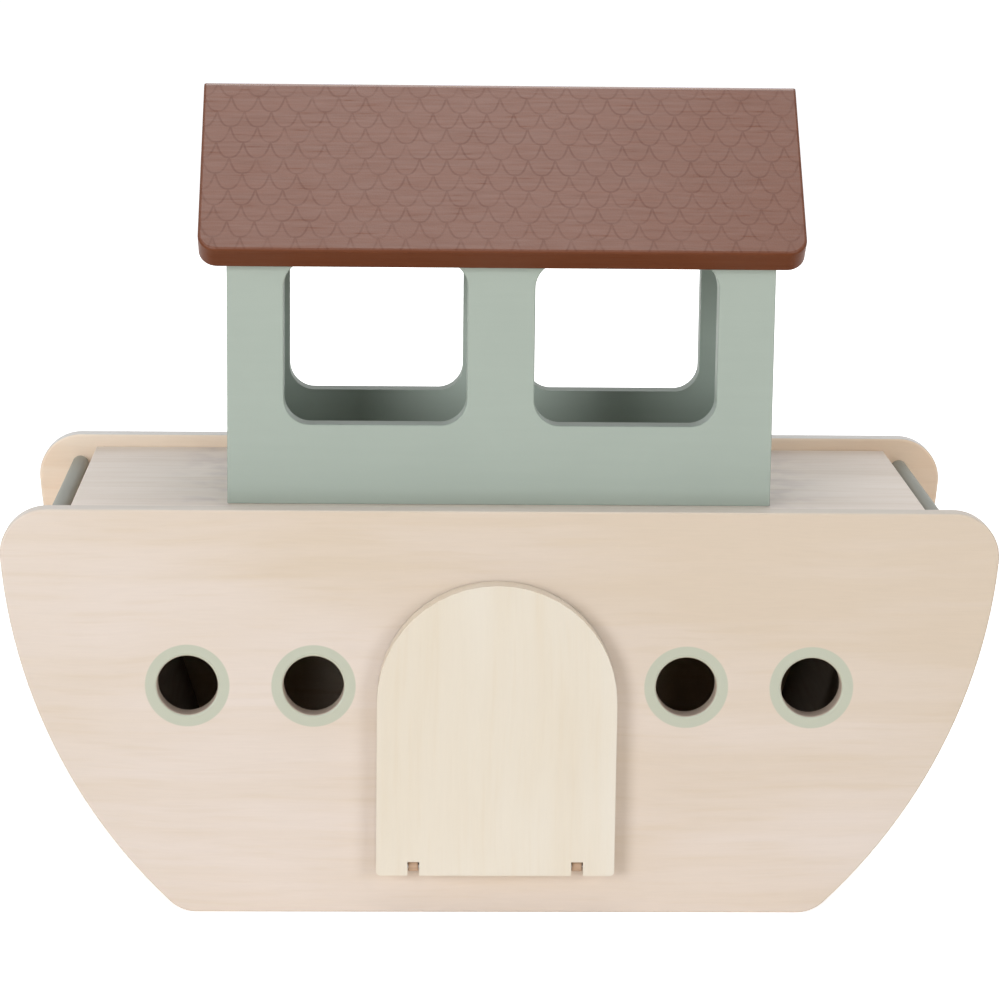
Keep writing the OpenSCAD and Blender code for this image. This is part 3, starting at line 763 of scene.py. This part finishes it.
class ARK_OT_deck(bpy.types.Operator):
    """Round the deck board and paint the cabin's shade on its wood beside the cabin"""
    bl_idname = "ark.deck"
    bl_label = "Deck"

    def execute(self, context):
        edges, colours = context.scene.ark_edges, context.scene.ark_colours
        finish = wood("Deck wood", colours.deck, colours.deck_warm, "X", seed=6.05,
                      roughness=0.42)
        away = finish.math("ABSOLUTE", finish.split(finish.place)[0])
        # Painted shade of the cabin, in clouds, on the deck just beyond the cabin's ends
        starts = finish.span(away, *(WALL_HIGH.x + step for step in CABIN_SHADE_START))
        ends = finish.span(away, *(WALL_HIGH.x + step for step in CABIN_SHADE_END), 1.0, 0.0)
        clouds = finish.span(finish.noise(finish.place, CABIN_SHADE_CELLS), *CABIN_SHADE_SPAN, 0.0, CABIN_SHADE_DEPTH)
        cabin_shade = finish.math("MULTIPLY", finish.math("MULTIPLY", starts, ends), clouds)
        finish.recolour(finish.blend(cabin_shade, finish.base(), colours.cabin_shade))
        add_board("deck", "deck_board", finish, "deck_lid", "deck_wood", edges.deck, edges.steps)
        return {"FINISHED"}


class ARK_OT_cabin(bpy.types.Operator):
    """Round the cabin's windows and corners and paint its walls"""
    bl_idname = "ark.cabin"
    bl_label = "Cabin"

    def execute(self, context):
        edges, colours = context.scene.ark_edges, context.scene.ark_colours
        finish = paint("Sage paint", colours.sage, "X", seed=0.53)
        wall_t = WALL_HIGH.y - WALL_LOW.y
        inside = MIDDLE_Y - WALL_LOW.y - wall_t / 2
        tip = WALL_HIGH.x - wall_t / 2

        def shows(point):
            """True away from the wall's foot and its joints with the gables."""
            in_joint = abs(point.y - MIDDLE_Y) < inside and abs(point.x) > tip
            return point.z > DECK_HIGH.z + MERGE and not in_joint

        def at_foot(point):
            """True along the wall's lower edges."""
            return point.z < DECK_HIGH.z + MERGE

        for name, node in (("front_wall", "cabin_front_wall"), ("rear_wall", "cabin_rear_wall")):
            bm = merged_copy(node)
            ease(bm, edges.wall, edges.steps, shows)
            ease(bm, edges.foot, FINE_FACES, at_foot)
            ease(bm, edges.joint, FINE_FACES)
            add_piece(name, bm, finish, "deck_lid", "sage_paint", node)
        for name, node in (("stern_gable", "cabin_stern_gable"),
                           ("bow_gable", "cabin_bow_gable")):
            add_board(name, node, finish, "deck_lid", "sage_paint", edges.joint, FINE_FACES)
        return {"FINISHED"}


class ARK_OT_roof(bpy.types.Operator):
    """Make the two rounded roof boards with their scale pattern, and the ribs below them"""
    bl_idname = "ark.roof"
    bl_label = "Roof"

    def board(self, context, start):
        """A roof board that lies flat, outer face up, from start down to the eave."""
        edges, roof = context.scene.ark_edges, context.scene.ark_roof
        bm = bmesh.new()
        bmesh.ops.create_cube(bm, size=1.0)
        size = (ROOF_HIGH.x - ROOF_LOW.x, roof.slope - start, roof.thickness)
        place = (0.0, -(roof.slope + start) / 2, -roof.thickness / 2)
        bmesh.ops.scale(bm, vec=size, verts=bm.verts)
        bmesh.ops.translate(bm, vec=place, verts=bm.verts)
        corners = [e for e in bm.edges if abs(e.verts[0].co.z - e.verts[1].co.z) > MERGE
                   and middle(e).y < -start - MERGE]
        round_off(bm, corners, edges.roof_corner, CORNER_FACES)
        rim = [e for e in bm.edges
               if e.calc_face_angle() > SHARP and middle(e).y < -start - MERGE]
        round_off(bm, rim, edges.roof, RIM_FACES)
        upper = [e for e in bm.edges if e.calc_face_angle() > SHARP
                 and all(abs(v.co.y + start) < MERGE and abs(v.co.z) < MERGE for v in e.verts)]
        round_off(bm, upper, edges.ridge if start == 0.0 else edges.joint, RIDGE_FACES)
        return bm

    def execute(self, context):
        scene = context.scene
        edges, roof, colours = scene.ark_edges, scene.ark_roof, scene.ark_colours
        for name, node, start, turn in (("front_roof", "roof_front_board", 0.0, 0.0),
                                        ("rear_roof", "roof_rear_board", roof.thickness, pi)):
            to_world = (Matrix.Translation(RIDGE) @ Matrix.Rotation(turn, 4, "Z")
                        @ Matrix.Rotation(pi / 4, 4, "X"))
            bm = self.board(context, start)
            bmesh.ops.transform(bm, matrix=to_world, verts=bm.verts)
            label = name.replace("_", " ") + " paint"
            finish = scale_paint(label, colours, roof, to_world, seed=0.9 + turn)
            add_piece(name, bm, finish, "roof", "terracotta_paint", node)
        finish = paint("Rib paint", colours.roof, "Y", seed=1.4, cloud=0.08, streak=0.12)
        for name, node in (("stern_rib", "roof_stern_rib"), ("bow_rib", "roof_bow_rib")):
            add_board(name, node, finish, "roof", "terracotta_paint", edges.board, edges.steps)
        return {"FINISHED"}


class ARK_OT_fastenings(bpy.types.Operator):
    """Finish the pins, screws and magnets that hold the boards together"""
    bl_idname = "ark.fastenings"
    bl_label = "Fastenings"

    def execute(self, context):
        colours = context.scene.ark_colours
        dress(metal("Steel", colours.steel),
              "hinge_pins", "cabin_screws", "panel_magnet", "ramp_magnet")
        dress(wood("Pin wood", colours.inner, colours.inner_warm, "Y", seed=7.7),
              "bottom_pins", "end_board_pins", "cabin_corner_pins", "ridge_pins")
        return {"FINISHED"}


class ARK_OT_stage(bpy.types.Operator):
    """Set up the floor, the white surroundings, the lights and the camera"""
    bl_idname = "ark.stage"
    bl_label = "Stage"

    def seen(self, tree):
        """1 for rays that the picture or a reflection shows, 0 for light on the object."""
        path = tree.nodes.new("ShaderNodeLightPath")
        total = path.outputs["Is Camera Ray"]
        for name in ("Is Glossy Ray", "Is Transmission Ray"):
            node = tree.nodes.new("ShaderNodeMath")
            node.operation = "MAXIMUM"
            tree.links.new(total, node.inputs[0])
            tree.links.new(path.outputs[name], node.inputs[1])
            total = node.outputs[0]
        return total

    def softbox(self, context, name, place, target, size, radiance, mirrored):
        """Adds a flat light of an even brightness."""
        light = bpy.data.lights.new(name, "AREA")
        light.shape = "RECTANGLE"
        light.size, light.size_y = size
        light.energy = radiance * pi * size[0] * size[1]
        lamp = bpy.data.objects.new(name, light)
        lamp.location = place
        way = Vector(target) - Vector(place)
        lamp.rotation_euler = way.to_track_quat("-Z", "Y").to_euler()
        lamp.visible_camera = False
        lamp.visible_glossy = mirrored
        context.scene.collection.objects.link(lamp)

    def execute(self, context):
        scene, studio = context.scene, context.scene.ark_studio
        bm = bmesh.new()
        bmesh.ops.create_grid(bm, x_segments=1, y_segments=1, size=FLOOR_HALF)
        mesh = bpy.data.meshes.new("floor")
        bm.to_mesh(mesh)
        bm.free()
        floor = bpy.data.objects.new("floor", mesh)
        scene.collection.objects.link(floor)
        pale = Finish("Floor")
        seen = self.seen(pale.tree)
        base = pale.blend(seen, studio.bounce, studio.floor)
        pale.surface(base, FLOOR_ROUGH, FLOOR_GLOSS)
        pale.shader.inputs["Emission Color"].default_value = WHITE
        away = pale.vector("LENGTH", pale.place)
        glow = pale.span(away, GLOW_NEAR, GLOW_FAR, studio.floor_glow, 1.0)
        pale.put(pale.shader.inputs["Emission Strength"], pale.math("MULTIPLY", seen, glow))
        mesh.materials.append(pale.material)
        floor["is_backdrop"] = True

        world = bpy.data.worlds.new("Studio")
        scene.world = world
        world.use_nodes = True
        tree = world.node_tree
        strength = tree.nodes.new("ShaderNodeMath")
        strength.operation = "MULTIPLY_ADD"
        tree.links.new(self.seen(tree), strength.inputs[0])
        strength.inputs[1].default_value = 1.0 - studio.ambient
        strength.inputs[2].default_value = studio.ambient
        background = tree.nodes["Background"]
        background.inputs["Color"].default_value = WHITE
        tree.links.new(strength.outputs[0], background.inputs["Strength"])

        for name, setting, place, height, size, mirrored in SOFTBOXES:
            target = (0.0, MIDDLE_Y, height)
            self.softbox(context, name, place, target, size, getattr(studio, setting), mirrored)

        data = bpy.data.cameras.new("Camera")
        data.lens = studio.lens
        camera = bpy.data.objects.new("Camera", data)
        camera.matrix_world = (Matrix.Translation(studio.camera_place)
                               @ Matrix.Rotation(-studio.camera_yaw, 4, "Z")
                               @ Matrix.Rotation(pi / 2 - studio.camera_pitch, 4, "X")
                               @ Matrix.Rotation(studio.camera_roll, 4, "Z"))
        scene.collection.objects.link(camera)
        scene.camera = camera
        scene.view_settings.view_transform = "Standard"
        return {"FINISHED"}


OPERATORS = (ARK_OT_side_panels, ARK_OT_hold_boards, ARK_OT_dowels, ARK_OT_ramp, ARK_OT_deck,
             ARK_OT_cabin, ARK_OT_roof, ARK_OT_fastenings, ARK_OT_stage)
SETTINGS = {"ark_edges": ArkEdges, "ark_roof": ArkRoof, "ark_colours": ArkColours,
            "ark_rings": ArkRings, "ark_studio": ArkStudio}


class ARK_PT_panel(bpy.types.Panel):
    """Sizes, colours and building steps of the ark"""
    bl_idname = "ARK_PT_panel"
    bl_label = "Toy ark"
    bl_space_type = "VIEW_3D"
    bl_region_type = "UI"
    bl_category = "Ark"

    def draw(self, context):
        layout = self.layout
        for name, group in SETTINGS.items():
            box = layout.box()
            box.label(text=group.__doc__)
            for setting in group.__annotations__:
                box.prop(getattr(context.scene, name), setting)
        for operator in OPERATORS:
            layout.operator(operator.bl_idname)


def register():
    for cls in (*SETTINGS.values(), *OPERATORS, ARK_PT_panel):
        bpy.utils.register_class(cls)
    for name, group in SETTINGS.items():
        setattr(bpy.types.Scene, name, PointerProperty(type=group))


def unregister():
    for name in SETTINGS:
        delattr(bpy.types.Scene, name)
    for cls in (ARK_PT_panel, *reversed(OPERATORS), *SETTINGS.values()):
        bpy.utils.unregister_class(cls)


def main():
    register()
    bpy.ops.ark.side_panels()
    bpy.ops.ark.hold_boards()
    bpy.ops.ark.dowels()
    bpy.ops.ark.ramp()
    bpy.ops.ark.deck()
    bpy.ops.ark.cabin()
    bpy.ops.ark.roof()
    bpy.ops.ark.fastenings()
    bpy.ops.ark.stage()
    boxes = {"cad_box": cad_box, "visual_box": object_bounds()}
    {name: [list(corner) for corner in box] for name, box in boxes.items()}


if __name__ == "__main__":
    main()
